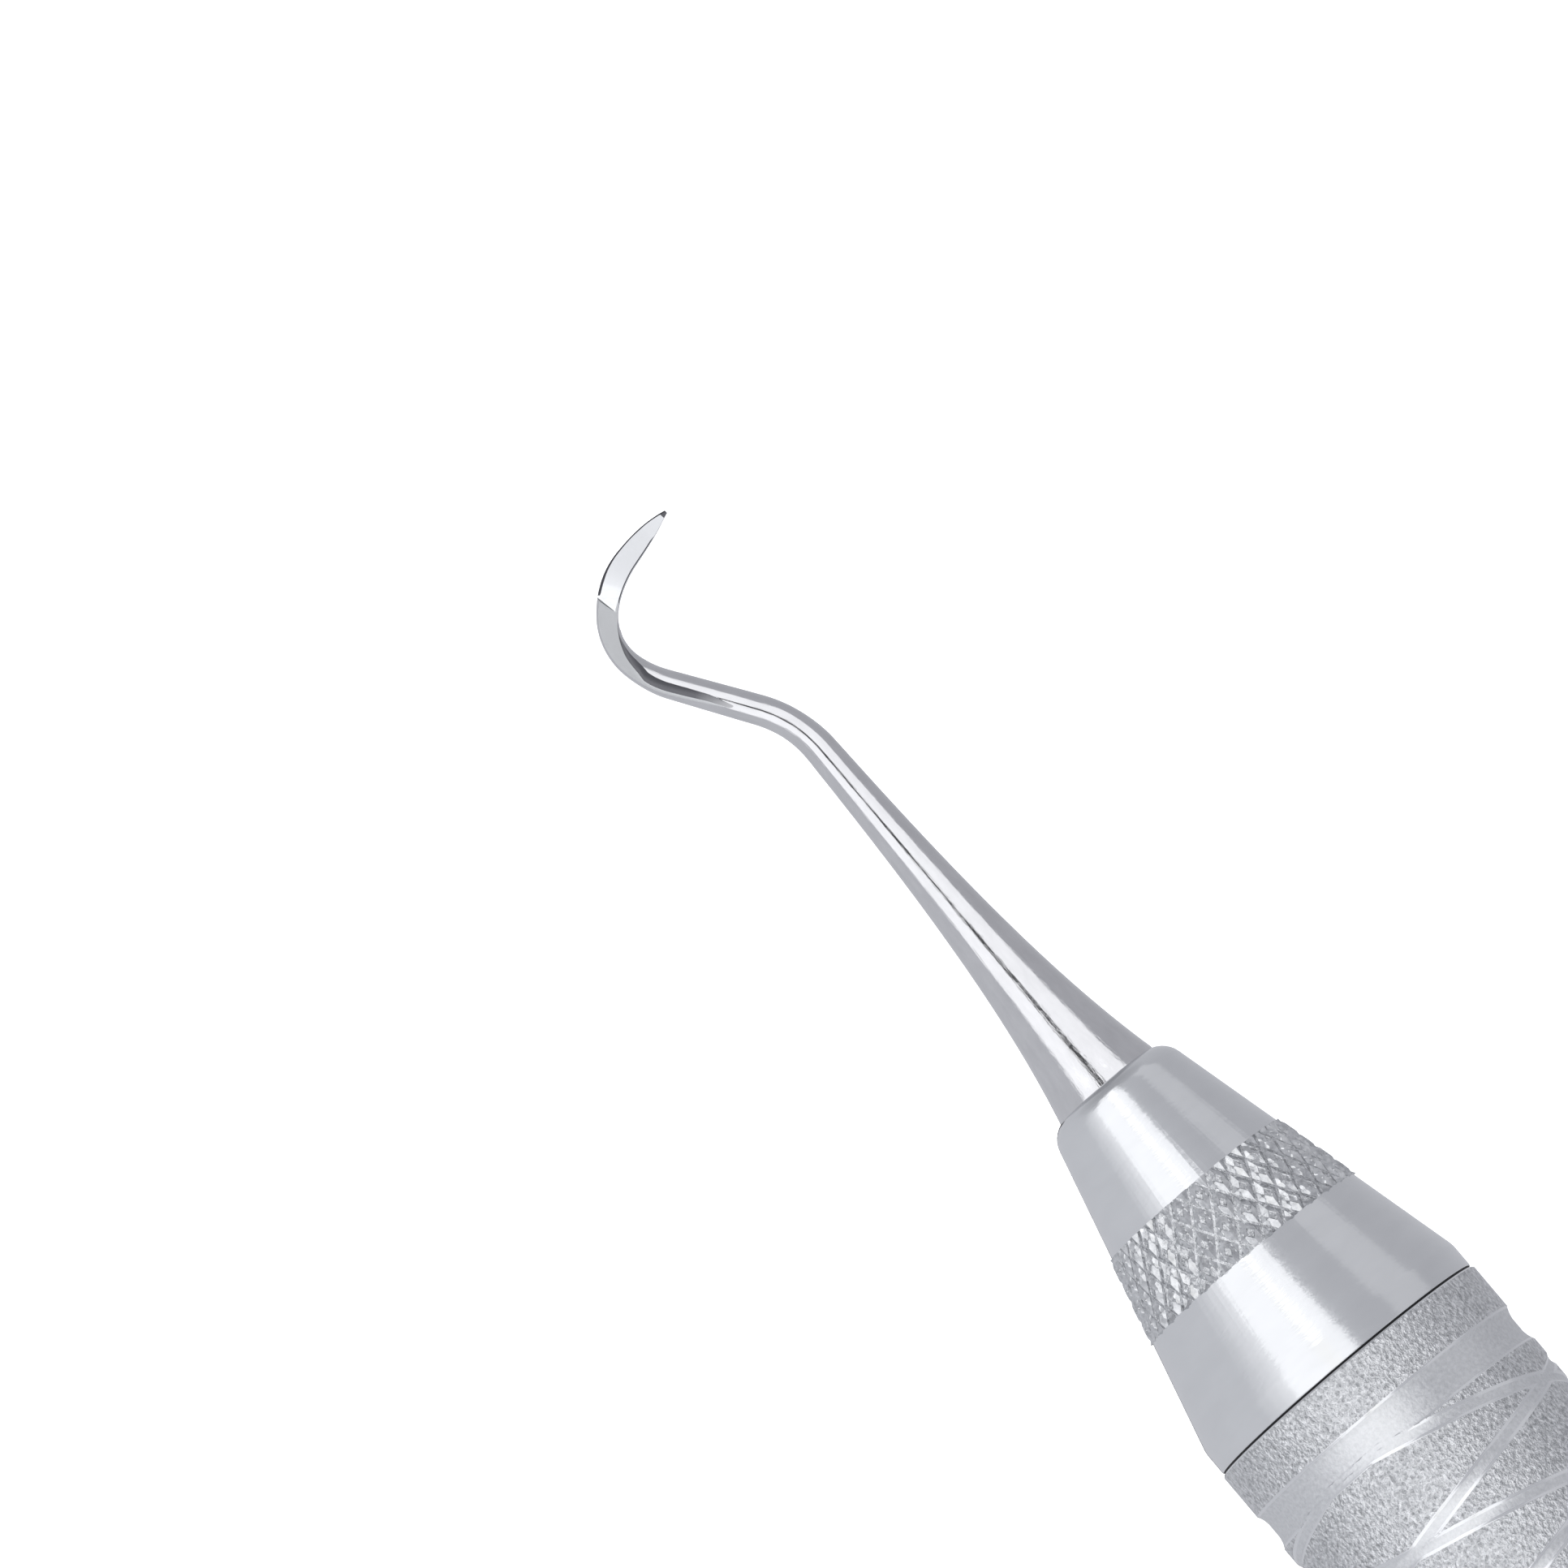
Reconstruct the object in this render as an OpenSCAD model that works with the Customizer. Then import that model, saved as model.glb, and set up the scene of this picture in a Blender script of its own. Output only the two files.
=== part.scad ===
// Double-ended dental hand scaler: a hollow grip tube, a conical ferrule with a knurled band
// pressed into each end of it over a thin black sealing ring, and a sickle-shaped working end
// whose tang is pressed into each ferrule.
// Frame: +X runs along the handle axis towards the front working end, the hooks lie in the
// XY plane, +Z is up, and the origin is the centre of the handle, on its axis. Millimetres.

/* [Grip tube] */
// Outside diameter of the grip tube
grip_d = 10; // [9:0.1:12]
// Length of the grip tube
grip_len = 105; // [90:1:120]
// Wall thickness of the grip tube
grip_wall = 0.8; // [0.6:0.1:1.2]
// Width of the plain land between each end of the tube and its ring groove
end_land = 1.6; // [1.2:0.1:3]
// Width of each ring groove
ring_groove_w = 1.3; // [0.8:0.1:2]
// Depth of each ring groove
ring_groove_depth = 0.13; // [0.05:0.01:0.2]

/* [Sealing ring] */
// Thickness of the ring, which shows as the dark joint line
seal_t = 0.15; // [0.1:0.05:0.5]
// How far the ring stays below the grip's surface
seal_recess = 0.14; // [0.1:0.02:0.3]

/* [Ferrule] */
// Diameter of the cylindrical collar next to the grip
collar_d = 9.85; // [9.2:0.05:10]
// Length of that collar
collar_len = 0.75; // [0.5:0.05:1.5]
// Length of the whole ferrule outside the grip
ferrule_len = 11.3; // [10:0.1:14]
// Half angle of its taper
taper_angle = 14.4; // [13:0.1:15]
// Radius where the taper rounds over into the nose
nose_round = 0.86; // [0.6:0.02:1]
// Small bevel on the collar's edge
collar_bevel = 0.05; // [0.02:0.01:0.1]
// Length of the spigot pressed into the grip tube
spigot_len = 6; // [4:0.5:10]
// Lead-in bevel on the spigot's end
spigot_bevel = 0.4; // [0.1:0.1:0.6]

/* [Knurled band] */
// Distance from the grip's joint to the band
knurl_start = 4.33; // [3:0.1:5]
// Length of the band
knurl_len = 2.77; // [2:0.1:4]
// How far the band stands proud of the taper
knurl_proud = 0.08; // [0.04:0.01:0.15]

/* [Shank] */
// Diameter of the shank where it meets the ferrule
shank_base_d = 3.66; // [3.4:0.02:4]
// Diameter of the shank at the elbow
shank_elbow_d = 1.05; // [0.9:0.05:1.3]
// Straight length from the ferrule's nose to the elbow
shank_len = 13.4; // [10:0.1:16]
// How quickly the flare narrows, per millimetre
flare_rate = 0.165; // [0.12:0.005:0.22]
// Edge rounding at the base of the shank
shank_edge = 0.08; // [0.04:0.01:0.12]
// Diameter of the tang inside the ferrule
tang_d = 2.6; // [2:0.1:3]
// Length of the tang
tang_len = 14; // [8:0.5:16]

/* [Working end] */
// Bend radius of the elbow, on the centre line
elbow_r = 3.95; // [3:0.05:6]
// Angle of the elbow
elbow_angle = 33.8; // [20:0.2:45]
// Straight length between the elbow and the hook
lower_shank_len = 2.83; // [2:0.01:5]
// Width of the blade at its heel, in the plane of the hook
blade_w = 0.75; // [0.6:0.01:1]
// Thickness across the two cutting edges at the heel
blade_t = 0.68; // [0.5:0.01:0.9]
// Thickness of the flat-sided stretch round the bottom of the hook
flat_t = 0.66; // [0.5:0.01:0.8]
// Width left at the tip, which is not ground to zero
tip_w = 0.05; // [0.03:0.01:0.1]

/* [Hidden] */

round_fn = 96;
bore_d = grip_d - 2 * grip_wall;
joint_x = grip_len / 2 + seal_t;
nose_x = joint_x + ferrule_len;

steel = "silver";
blasted_steel = "darkgray";
black_rubber = "black";

// The working end's centre line after the straight shank, as [radius, angle] arcs.
// A radius of 0 marks a straight stretch, whose second value is its length.
// Angles towards +Y are positive: the elbow turns one way and the hook the other.
CENTRE_LINE = [
    [0, shank_len],
    [elbow_r, elbow_angle],
    [0, lower_shank_len],
    [3.5, -21.5],
    [1.95, -55.5],
    [2.95, -33.5],
    [17, -6.5]
];
function stretch_len(c) = c[0] == 0 ? c[1] : c[0] * abs(c[1]) * PI / 180;
function stretches_len(n) = n == 0 ? 0 : stretch_len(CENTRE_LINE[n - 1]) + stretches_len(n - 1);

elbow_s = stretches_len(1);
lower_s = stretches_len(2);
hook_s = stretches_len(3);
hook_bottom_s = stretches_len(4) + 1;
heel_s = stretches_len(5);
blade_s = stretches_len(6);
tip_s = stretches_len(7);

// One step along a stretch c from pose p = [x, y, heading], over a length s
function stepped(c, p, s) =
    c[0] == 0
    ? [p[0] + s * cos(p[2]), p[1] + s * sin(p[2]), p[2]]
    : let (side = sign(c[1]),
           h = p[2] + side * s / c[0] * 180 / PI)
      [p[0] + side * c[0] * (sin(h) - sin(p[2])), p[1] + side * c[0] * (cos(p[2]) - cos(h)), h];

// Pose [x, y, heading] on the centre line at a length s from the ferrule's nose
function pose_at(s, i = 0, p = [0, 0, 0]) =
    let (l = stretch_len(CENTRE_LINE[i]))
    (s <= l || i == len(CENTRE_LINE) - 1)
    ? stepped(CENTRE_LINE[i], p, s)
    : pose_at(s - l, i + 1, stepped(CENTRE_LINE[i], p, l));

// Diameter of the flared shank at a length s from the nose
function flare_d(s) =
    let (end = exp(-flare_rate * shank_len))
    shank_elbow_d + (shank_base_d - shank_elbow_d) * (exp(-flare_rate * s) - end) / (1 - end);

// Width in the plane of the hook, thickness across it, and how far the section has changed
// from a round rod (0) to the sickle's flat-sided, back-tapered section (1)
function width_at(s) = lookup(s, [
    [elbow_s, shank_elbow_d],
    [lower_s, 0.97],
    [hook_s, 0.90],
    [hook_bottom_s, 0.71],
    [heel_s, 0.68],
    [heel_s + 0.9, blade_w],
    [blade_s, 0.72],
    [blade_s + 0.6, 0.67],
    [blade_s + 1.2, 0.47],
    [tip_s - 0.35, 0.2],
    [tip_s, tip_w]
]);
function thickness_at(s) = lookup(s, [
    [elbow_s, shank_elbow_d],
    [lower_s, 0.97],
    [hook_s - 0.4, 0.91],
    [hook_bottom_s, flat_t],
    [heel_s + 0.5, blade_t],
    [blade_s, 0.52],
    [tip_s, tip_w]
]);
function sickle_at(s) = lookup(s, [
    [hook_s - 0.4, 0],
    [hook_bottom_s, 0.6],
    [heel_s + 0.5, 1],
    [tip_s, 1]
]);

// One corner of the section at angle a, in a box of half-width 1: x points to the back of the
// hook and y across it. The sickle section is squarer and narrows towards its back.
function corner(a, k) =
    let (power = 1 - 0.45 * k,
         back = sign(cos(a)) * pow(abs(cos(a)), power),
         side = sign(sin(a)) * pow(abs(sin(a)), power))
    [back, side * (1 - 0.5 * k * (1 + back) / 2)];

SIDES = 24;
RING_STEP = 0.3;
OVERLAP = 0.5;
SEAM_GAP = 0.01;

function ring_points(s) =
    let (p = pose_at(s),
         w = min(width_at(s), shank_elbow_d - SEAM_GAP) / 2,
         t = min(thickness_at(s), shank_elbow_d - SEAM_GAP) / 2,
         k = sickle_at(s))
    [for (i = [0 : SIDES - 1])
        let (c = corner(360 * (i + 0.5) / SIDES, k))
        [nose_x + p[0] - sin(p[2]) * w * c[0], p[1] + cos(p[2]) * w * c[0], t * c[1]]];

// Solid through a list of rings that all have SIDES points
module ring_sweep(rings) {
    last = len(rings) - 1;
    points = [for (r = rings) each r];
    walls = [for (j = [0 : last - 1], i = [0 : SIDES - 1], half = [0, 1])
        let (n = (i + 1) % SIDES,
             a = j * SIDES + i,
             b = j * SIDES + n,
             c = (j + 1) * SIDES + n,
             d = (j + 1) * SIDES + i)
        half == 0 ? [a, c, b] : [a, d, c]];
    first_cap = [for (i = [0 : SIDES - 1]) i];
    last_cap = [for (i = [SIDES - 1 : -1 : 0]) last * SIDES + i];
    polyhedron(points, concat(walls, [first_cap, last_cap]));
}

// Turns a profile of [radius, distance along X] points about the handle axis
module turned(profile) {
    rotate([0, 90, 0])
        rotate_extrude($fn = round_fn)
            polygon(profile);
}

// The grip tube: polished ring groove near each end, bored right through
module grip_tube() {
    groove_x = grip_len / 2 - end_land - ring_groove_w / 2;
    color(blasted_steel)
        difference() {
            turned([[bore_d / 2, -grip_len / 2], [grip_d / 2, -grip_len / 2],
                    [grip_d / 2, grip_len / 2], [bore_d / 2, grip_len / 2]]);
            for (x = [-groove_x, groove_x])
                ring_groove(x);
        }
}

// A shallow ring groove round the grip, with sloping sides
module ring_groove(x) {
    deep = grip_d / 2 - ring_groove_depth;
    clear = grip_d / 2 + 1;
    slope = ring_groove_depth * 1.5;
    half = ring_groove_w / 2;
    turned([[deep, x - half + slope], [grip_d / 2, x - half], [clear, x - half],
            [clear, x + half], [grip_d / 2, x + half], [deep, x + half - slope]]);
}

// Black ring between the end of the grip tube and the ferrule's collar
module joint_ring() {
    outer = grip_d / 2 - seal_recess;
    color(black_rubber)
        turned([[bore_d / 2, grip_len / 2], [outer, grip_len / 2],
                [outer, joint_x], [bore_d / 2, joint_x]]);
}

// Radius of the ferrule's taper at a distance from its joint
function taper_r(x) = collar_d / 2 - (x - collar_len) * tan(taper_angle);

// Points where the taper rounds over into the flat nose
function nose_points(steps) =
    let (corner_r = taper_r(ferrule_len),
         tangent = nose_round * tan((90 - taper_angle) / 2),
         centre = [corner_r - tangent, ferrule_len - nose_round])
    [for (i = [0 : steps])
        let (a = taper_angle + (90 - taper_angle) * i / steps)
        [centre[0] + nose_round * cos(a), joint_x + centre[1] + nose_round * sin(a)]];

// The ferrule: spigot, collar, taper with a proud knurled band, rounded nose, tang bore
module ferrule() {
    knurl_end = knurl_start + knurl_len;
    spigot_x = joint_x - spigot_len;
    color(steel)
        turned(concat(
            [[tang_d / 2, spigot_x],
             [bore_d / 2 - spigot_bevel, spigot_x],
             [bore_d / 2, spigot_x + spigot_bevel],
             [bore_d / 2, joint_x],
             [collar_d / 2 - collar_bevel, joint_x],
             [collar_d / 2, joint_x + collar_bevel],
             [collar_d / 2, joint_x + collar_len],
             [taper_r(knurl_start), joint_x + knurl_start],
             [taper_r(knurl_start) + knurl_proud, joint_x + knurl_start + knurl_proud],
             [taper_r(knurl_end) + knurl_proud, joint_x + knurl_end - knurl_proud],
             [taper_r(knurl_end), joint_x + knurl_end]],
            nose_points(6),
            [[tang_d / 2, nose_x]]));
}

// The working end: tang, flared round shank, elbow and sickle hook in one forging
module working_end() {
    flare_steps = 18;
    stations = round((tip_s - elbow_s + OVERLAP) / RING_STEP);
    color(steel)
        union() {
            turned(concat(
                [[0, nose_x - tang_len],
                 [tang_d / 2, nose_x - tang_len],
                 [tang_d / 2, nose_x],
                 [shank_base_d / 2 - shank_edge, nose_x],
                 [shank_base_d / 2, nose_x + shank_edge]],
                [for (i = [1 : flare_steps])
                    let (s = shank_len * i / flare_steps)
                    [flare_d(s) / 2, nose_x + s]],
                [[0, nose_x + shank_len]]));
            ring_sweep([for (i = [0 : stations])
                ring_points(elbow_s - OVERLAP + (tip_s - elbow_s + OVERLAP) * i / stations)]);
        }
}

// The same piece at the rear end: half a turn about +Z
module at_rear() {
    rotate([0, 0, 180])
        children();
}

grip_tube();
joint_ring();  // front_joint_ring
ferrule();  // front_ferrule
working_end();  // front_working_end
at_rear() joint_ring();  // rear_joint_ring
at_rear() ferrule();  // rear_ferrule
at_rear() working_end();  // rear_working_end
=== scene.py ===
# %% [markdown]
# # A double-ended dental hand scaler
# The real instrument is a hollow steel grip with a ferrule pressed into each end, a thin black
# ring at each joint, and a sickle-shaped working end in each ferrule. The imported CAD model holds
# the sizes and places. This lesson gives each visible piece its real surface: the grooves of the
# grip, the diamonds of the knurled band, and the ground faces of the blade.

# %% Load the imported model
import math

import bmesh
import bpy
from mathutils import Matrix, Vector


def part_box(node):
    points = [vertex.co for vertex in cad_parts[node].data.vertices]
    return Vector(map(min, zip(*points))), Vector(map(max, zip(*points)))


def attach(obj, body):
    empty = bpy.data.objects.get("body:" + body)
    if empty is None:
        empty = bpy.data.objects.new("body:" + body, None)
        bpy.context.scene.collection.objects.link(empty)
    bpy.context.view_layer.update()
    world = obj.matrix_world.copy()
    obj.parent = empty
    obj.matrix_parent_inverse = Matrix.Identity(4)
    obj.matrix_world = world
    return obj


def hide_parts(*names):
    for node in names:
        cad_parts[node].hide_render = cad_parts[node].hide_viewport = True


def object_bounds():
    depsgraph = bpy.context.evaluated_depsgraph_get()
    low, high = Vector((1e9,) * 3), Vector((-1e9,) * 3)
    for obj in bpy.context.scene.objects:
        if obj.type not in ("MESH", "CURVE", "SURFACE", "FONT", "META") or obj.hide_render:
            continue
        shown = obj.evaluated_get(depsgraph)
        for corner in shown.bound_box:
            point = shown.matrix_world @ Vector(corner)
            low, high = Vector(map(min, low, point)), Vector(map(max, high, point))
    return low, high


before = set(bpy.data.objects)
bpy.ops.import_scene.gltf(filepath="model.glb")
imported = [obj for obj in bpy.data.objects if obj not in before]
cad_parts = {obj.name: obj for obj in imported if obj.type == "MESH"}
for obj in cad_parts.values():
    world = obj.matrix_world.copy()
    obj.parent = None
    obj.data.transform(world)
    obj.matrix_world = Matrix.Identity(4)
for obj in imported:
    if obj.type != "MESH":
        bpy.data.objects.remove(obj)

cad_low, cad_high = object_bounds()
print("CAD box in mm:", [round(1000 * v, 2) for v in (*cad_low, *cad_high)])

# %% [markdown]
# ## Driving sizes
# Everything is worked out from the boxes of the CAD nodes. The instrument is a few millimetres
# thick, and many of Blender's operators compare against a fixed small distance made for things
# of room size. So pieces are modelled in millimetres, one unit to the millimetre, and are shrunk
# to metres when they are finished.

# %% Sizes from the frame, in millimetres
MM = 0.001


def node_box(node):
    low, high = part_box(node)
    return low / MM, high / MM


_, grip_high = node_box("grip_tube")
_, ring_high = node_box("front_joint_ring")
ferrule_low, ferrule_high = node_box("front_ferrule")
tip_low, tip_high = node_box("front_working_end")

# Places closer than near count as the same, and points closer than merge are joined
near = 0.001
merge = 0.0005
# A hair inside the node's own box, so that no facet of the round piece stands out of it
inside = 0.002
grip_r = min(grip_high.y, grip_high.z) - inside
grip_end = grip_high.x
joint_x = ring_high.x
nose_x = ferrule_high.x
spigot_x = ferrule_low.x
tang_x = tip_low.x
print("grip radius", round(grip_r, 3), "joint at", round(joint_x, 3), "nose at", round(nose_x, 3))

# %% [markdown]
# ## Working by hand, in code
# An operator acts on whatever is selected, so each step starts with nothing selected and then
# picks points by where they are. These few helpers do that for the whole lesson.

# %% Selection helpers


def deselect_all():
    """Leaves edit mode and selects nothing."""
    if bpy.context.object and bpy.context.object.mode != "OBJECT":
        bpy.ops.object.mode_set(mode="OBJECT")
    bpy.ops.object.select_all(action="DESELECT")


def only(obj):
    """Makes obj the one selected and active object."""
    deselect_all()
    obj.select_set(True)
    bpy.context.view_layer.objects.active = obj


def edit(obj):
    """Opens obj in edit mode with all of it selected."""
    only(obj)
    bpy.ops.object.mode_set(mode="EDIT")
    bpy.context.tool_settings.mesh_select_mode = (True, False, False)
    bpy.ops.mesh.select_all(action="SELECT")


def pick_vertices(obj, test):
    """Selects the vertices whose place passes the test, and returns how many there are."""
    mesh = bmesh.from_edit_mesh(obj.data)
    bpy.context.tool_settings.mesh_select_mode = (True, False, False)
    bpy.ops.mesh.select_all(action="DESELECT")
    count = 0
    for v in mesh.verts:
        if test(v.co):
            v.select_set(True)
            count += 1
    mesh.select_flush(True)
    bmesh.update_edit_mesh(obj.data)
    return count


def apply_modifiers(obj):
    """Applies every modifier of obj, first to last."""
    only(obj)
    for modifier in list(obj.modifiers):
        bpy.ops.object.modifier_apply(modifier=modifier.name)


def apply_place(obj):
    """Puts the place, turn and size of obj into its mesh."""
    only(obj)
    bpy.ops.object.transform_apply(location=True, rotation=True, scale=True)


def faces_outwards(obj):
    """Merges doubles and turns every face of a closed shape outwards."""
    edit(obj)
    bpy.ops.mesh.remove_doubles(threshold=merge)
    bpy.ops.mesh.normals_make_consistent(inside=False)
    deselect_all()


def cut(point, normal, clear_inner=False, clear_outer=False):
    """Cuts the piece in edit mode wherever a plane crosses it, and can clear one side."""
    bpy.ops.mesh.select_all(action="SELECT")
    bpy.ops.mesh.bisect(
        plane_co=point,
        plane_no=normal,
        clear_inner=clear_inner,
        clear_outer=clear_outer,
        threshold=0.00002,
    )


def empty_slots(obj, count):
    """Gives obj material slots that are filled at the end, so its faces can be sorted now."""
    for _ in range(count):
        obj.data.materials.append(None)


# %% [markdown]
# ## A pattern of crossing grooves
# The grip has shallow polished grooves that run round it both ways, like two screw threads of
# opposite hand, and the knurled band has the same layout at a much finer pitch. Unrolled flat,
# both are a lattice of crossing straight lines. A quarter of one mesh of that lattice is a small
# rectangle with one diagonal. It is cut along lines parallel to the grooves, mirrored twice into
# a whole mesh, and repeated across the sheet. The sheet is then bent round into a tube.

# %% The flat pattern


class Lattice:
    """Crossing grooves on a flat sheet: X runs round the tube and Z along it."""

    def __init__(self, quarter_w, quarter_h, widths):
        self.w = quarter_w
        self.h = quarter_h
        self.widths = widths
        size = math.hypot(quarter_w, quarter_h)
        rising = (-quarter_h / size, quarter_w / size)
        falling = (quarter_h / size, quarter_w / size)
        self.lines = [
            ((0, 0), rising),
            ((0, 0), falling),
            ((quarter_w, quarter_h), falling),
        ]

    def distance(self, x, z):
        """How far a point of the sheet is from the middle of the nearest groove."""
        x = abs((x + self.w) % (2 * self.w) - self.w)
        z = abs((z + self.h) % (2 * self.h) - self.h)
        return min(abs((x - p[0]) * n[0] + (z - p[1]) * n[1]) for p, n in self.lines)

    def sheet(self, name, columns, around, along):
        """A flat sheet of around by along meshes, cut along every line of the pattern."""
        deselect_all()
        bpy.ops.mesh.primitive_grid_add(
            x_subdivisions=columns, y_subdivisions=1, size=1, rotation=(math.pi / 2, 0, 0)
        )
        obj = bpy.context.object
        obj.name = name
        obj.scale = (self.w, self.h, 1)
        obj.location = (self.w / 2, 0, self.h / 2)
        apply_place(obj)
        edit(obj)
        for point, normal in self.lines:
            for width in self.widths:
                for side in (-width, width):
                    place = (point[0] + side * normal[0], 0, point[1] + side * normal[1])
                    cut(place, (normal[0], 0, normal[1]))
        deselect_all()
        mirror = obj.modifiers.new("whole_mesh", "MIRROR")
        mirror.use_axis = (True, False, True)
        mirror.merge_threshold = merge
        for count, offset in ((around, (2 * self.w, 0, 0)), (along, (0, 0, 2 * self.h))):
            array = obj.modifiers.new("repeat", "ARRAY")
            array.count = count
            array.use_relative_offset = False
            array.use_constant_offset = True
            array.constant_offset_displace = offset
            array.use_merge_vertices = True
            array.merge_threshold = merge
        apply_modifiers(obj)
        return obj


def bend_round(obj, radius):
    """Bends a sheet in the XZ plane all the way round, closes the seam and lays it along X."""
    bend = obj.modifiers.new("bend", "SIMPLE_DEFORM")
    bend.deform_method = "BEND"
    bend.deform_axis = "Z"
    bend.angle = 2 * math.pi
    apply_modifiers(obj)
    edit(obj)
    bpy.ops.mesh.remove_doubles(threshold=near)
    deselect_all()
    obj.location = (0, -radius, 0)
    apply_place(obj)
    obj.rotation_euler = (0, math.pi / 2, 0)
    apply_place(obj)


def draw_ring(last, x, half_y, half_z=None, middle=0):
    """Extrudes the selected loop along X to a new half width and middle; returns that loop."""
    half_z = half_z or half_y
    step = (x - last[0], middle - last[3], 0)
    bpy.ops.mesh.extrude_edges_move(TRANSFORM_OT_translate={"value": step})
    bpy.ops.transform.resize(
        value=(1, half_y / last[1], half_z / last[2]), center_override=(x, middle, 0)
    )
    return x, half_y, half_z, middle


# %% [markdown]
# ## The grip
# The real grip is a drawn steel tube. A polished ring groove is turned near each end, shallow
# grooves are turned both ways round it, and what stands between them is blasted with fine beads.
# The rounded floor of a groove is made as steps on a ladder: at each rung the part of the sheet
# that lies inside both groove patterns drops a little further, so crossing grooves blend as they
# do on the lathe, where the deeper cut wins.

# %% Grip sizes
ring_groove_in = 2.25
last_crossing_in = 2.47
ring_groove_middle = grip_end - ring_groove_in
end_crossing = grip_end - last_crossing_in
crossing_rows = 60
crossing_turn = math.radians(65)
groove_half = 0.235
# Each rung: half width of the crossing grooves, half width of the ring groove, further drop
GROOVE_RUNGS = [
    (0.200, 0.62, 0.020),
    (0.140, 0.57, 0.025),
    (0.060, 0.52, 0.020),
    (None, 0.42, 0.035),
    (None, 0.25, 0.030),
]
ring_half = 0.65
ring_depth = sum(rung[2] for rung in GROOVE_RUNGS)
grip_wall = 0.8
wall_r = grip_r - grip_wall
# The bore is drawn in this far from each end, and then the two ends of it are bridged
bore_drawn = 3
bore_x = grip_end - bore_drawn
edge_break = 0.05

# %% Lay out the grip's outside as a flat sheet
grip_lattice = Lattice(
    quarter_w=math.pi * grip_r / 2,
    quarter_h=2 * end_crossing / crossing_rows,
    widths=[groove_half] + [rung[0] for rung in GROOVE_RUNGS if rung[0]],
)
grip_zero = Vector((-grip_lattice.w, 0, grip_lattice.h - end_crossing))
grip = grip_lattice.sheet("grip", columns=36, around=2, along=crossing_rows // 2)
grip.location = grip_zero
apply_place(grip)

edit(grip)
for half in [ring_half] + [rung[1] for rung in GROOVE_RUNGS]:
    for side in (-1, 1):
        cut((0, 0, side * (ring_groove_middle - half)), (0, 0, 1))


def in_groove(place, crossing_half, half):
    """True where either groove pattern is at least as deep as this rung."""
    if ring_groove_middle - abs(place.z) < half + merge:
        return True
    if crossing_half is None:
        return False
    middle_off = grip_lattice.distance(place.x - grip_zero.x, place.z - grip_zero.z)
    return middle_off < crossing_half + merge


for crossing_half, half, drop in GROOVE_RUNGS:
    picked = pick_vertices(grip, lambda p: in_groove(p, crossing_half, half))
    bpy.ops.transform.translate(value=(0, drop, 0))
    print("rung", drop, "vertices", picked)
deselect_all()

# %% Bend the sheet into a tube and close it
bend_round(grip, grip_r)

edit(grip)
for side in (-1, 1):
    pick_vertices(grip, lambda p: abs(p.x - side * end_crossing) < near)
    loop = (side * end_crossing, grip_r - ring_depth, grip_r - ring_depth, 0)
    outline = []
    drop = ring_depth
    for _, half, step in reversed(GROOVE_RUNGS):
        outline.append((ring_groove_middle + half, grip_r - drop))
        drop -= step
    outline += [
        (ring_groove_middle + ring_half, grip_r),
        (grip_end - edge_break, grip_r),
        (grip_end, grip_r - edge_break),
        (grip_end, wall_r),
        (bore_x, wall_r),
    ]
    for x, radius in outline:
        loop = draw_ring(loop, side * x, radius)
pick_vertices(grip, lambda p: abs(abs(p.x) - bore_x) < near and p.yz.length < wall_r + 10 * near)
bpy.ops.mesh.bridge_edge_loops()
faces_outwards(grip)
grip.rotation_euler = (crossing_turn, 0, 0)
apply_place(grip)
print("grip faces", len(grip.data.polygons))

# %% [markdown]
# ## The knurled band
# A knurling tool rolls V-shaped grooves into the ferrule both ways and pushes the metal up
# between them into small pyramids whose tops stay a little rough, because they never quite fill.
# It is the grip's lattice again, at a mesh under a millimetre wide. The sheet is bent round, and
# then tapered to lie on the cone.

# %% Ferrule sizes
# Material slots: the turned cone and collar, the torn tops of the diamonds, the grooves' walls
TURNED, TORN, WALL = range(3)
collar_r = 4.925
collar_len = 0.75
taper = math.radians(14.4)
nose_round = 0.86
nose_steps = 8
spigot_bevel = 0.4
tang_r = 1.3
knurl_start = 4.33
knurl_len = 2.77
knurl_proud = 0.08
knurl_count = 28
knurl_row = 0.66
# Each rung: half width of the V groove, further drop
KNURL_RUNGS = [(0.150, 0.055), (0.042, 0.075)]
knurl_half = 0.235
rim = 0.03
crater_depth = 0.025
ferrule_segments = 112


def taper_r(x):
    """Radius of the ferrule's cone at a distance from its joint."""
    return collar_r - (x - collar_len) * math.tan(taper)


knurl_middle = knurl_start + knurl_len / 2
knurl_r = taper_r(knurl_middle) + knurl_proud
print("band radius", round(knurl_r, 3))

# %% Roll the diamonds on a flat sheet
knurl_lattice = Lattice(
    quarter_w=math.pi * knurl_r / knurl_count,
    quarter_h=knurl_row,
    widths=[knurl_half + rim, knurl_half] + [rung[0] for rung in KNURL_RUNGS],
)
knurl_meshes = 3
half_len = knurl_len / 2 / math.cos(taper)
band_zero = Vector(
    (knurl_lattice.w - math.pi * knurl_r, 0, (0.5 - knurl_meshes) * knurl_lattice.h)
)
band = knurl_lattice.sheet("band", columns=2, around=knurl_count, along=knurl_meshes)
band.location = band_zero
apply_place(band)
edit(band)
cut((0, 0, half_len), (0, 0, 1), clear_outer=True)
cut((0, 0, -half_len), (0, 0, 1), clear_inner=True)


def knurl_distance(place):
    """Distance of a point of the band's sheet from the middle of the nearest V groove."""
    return knurl_lattice.distance(place.x - band_zero.x, place.z - band_zero.z)


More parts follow.
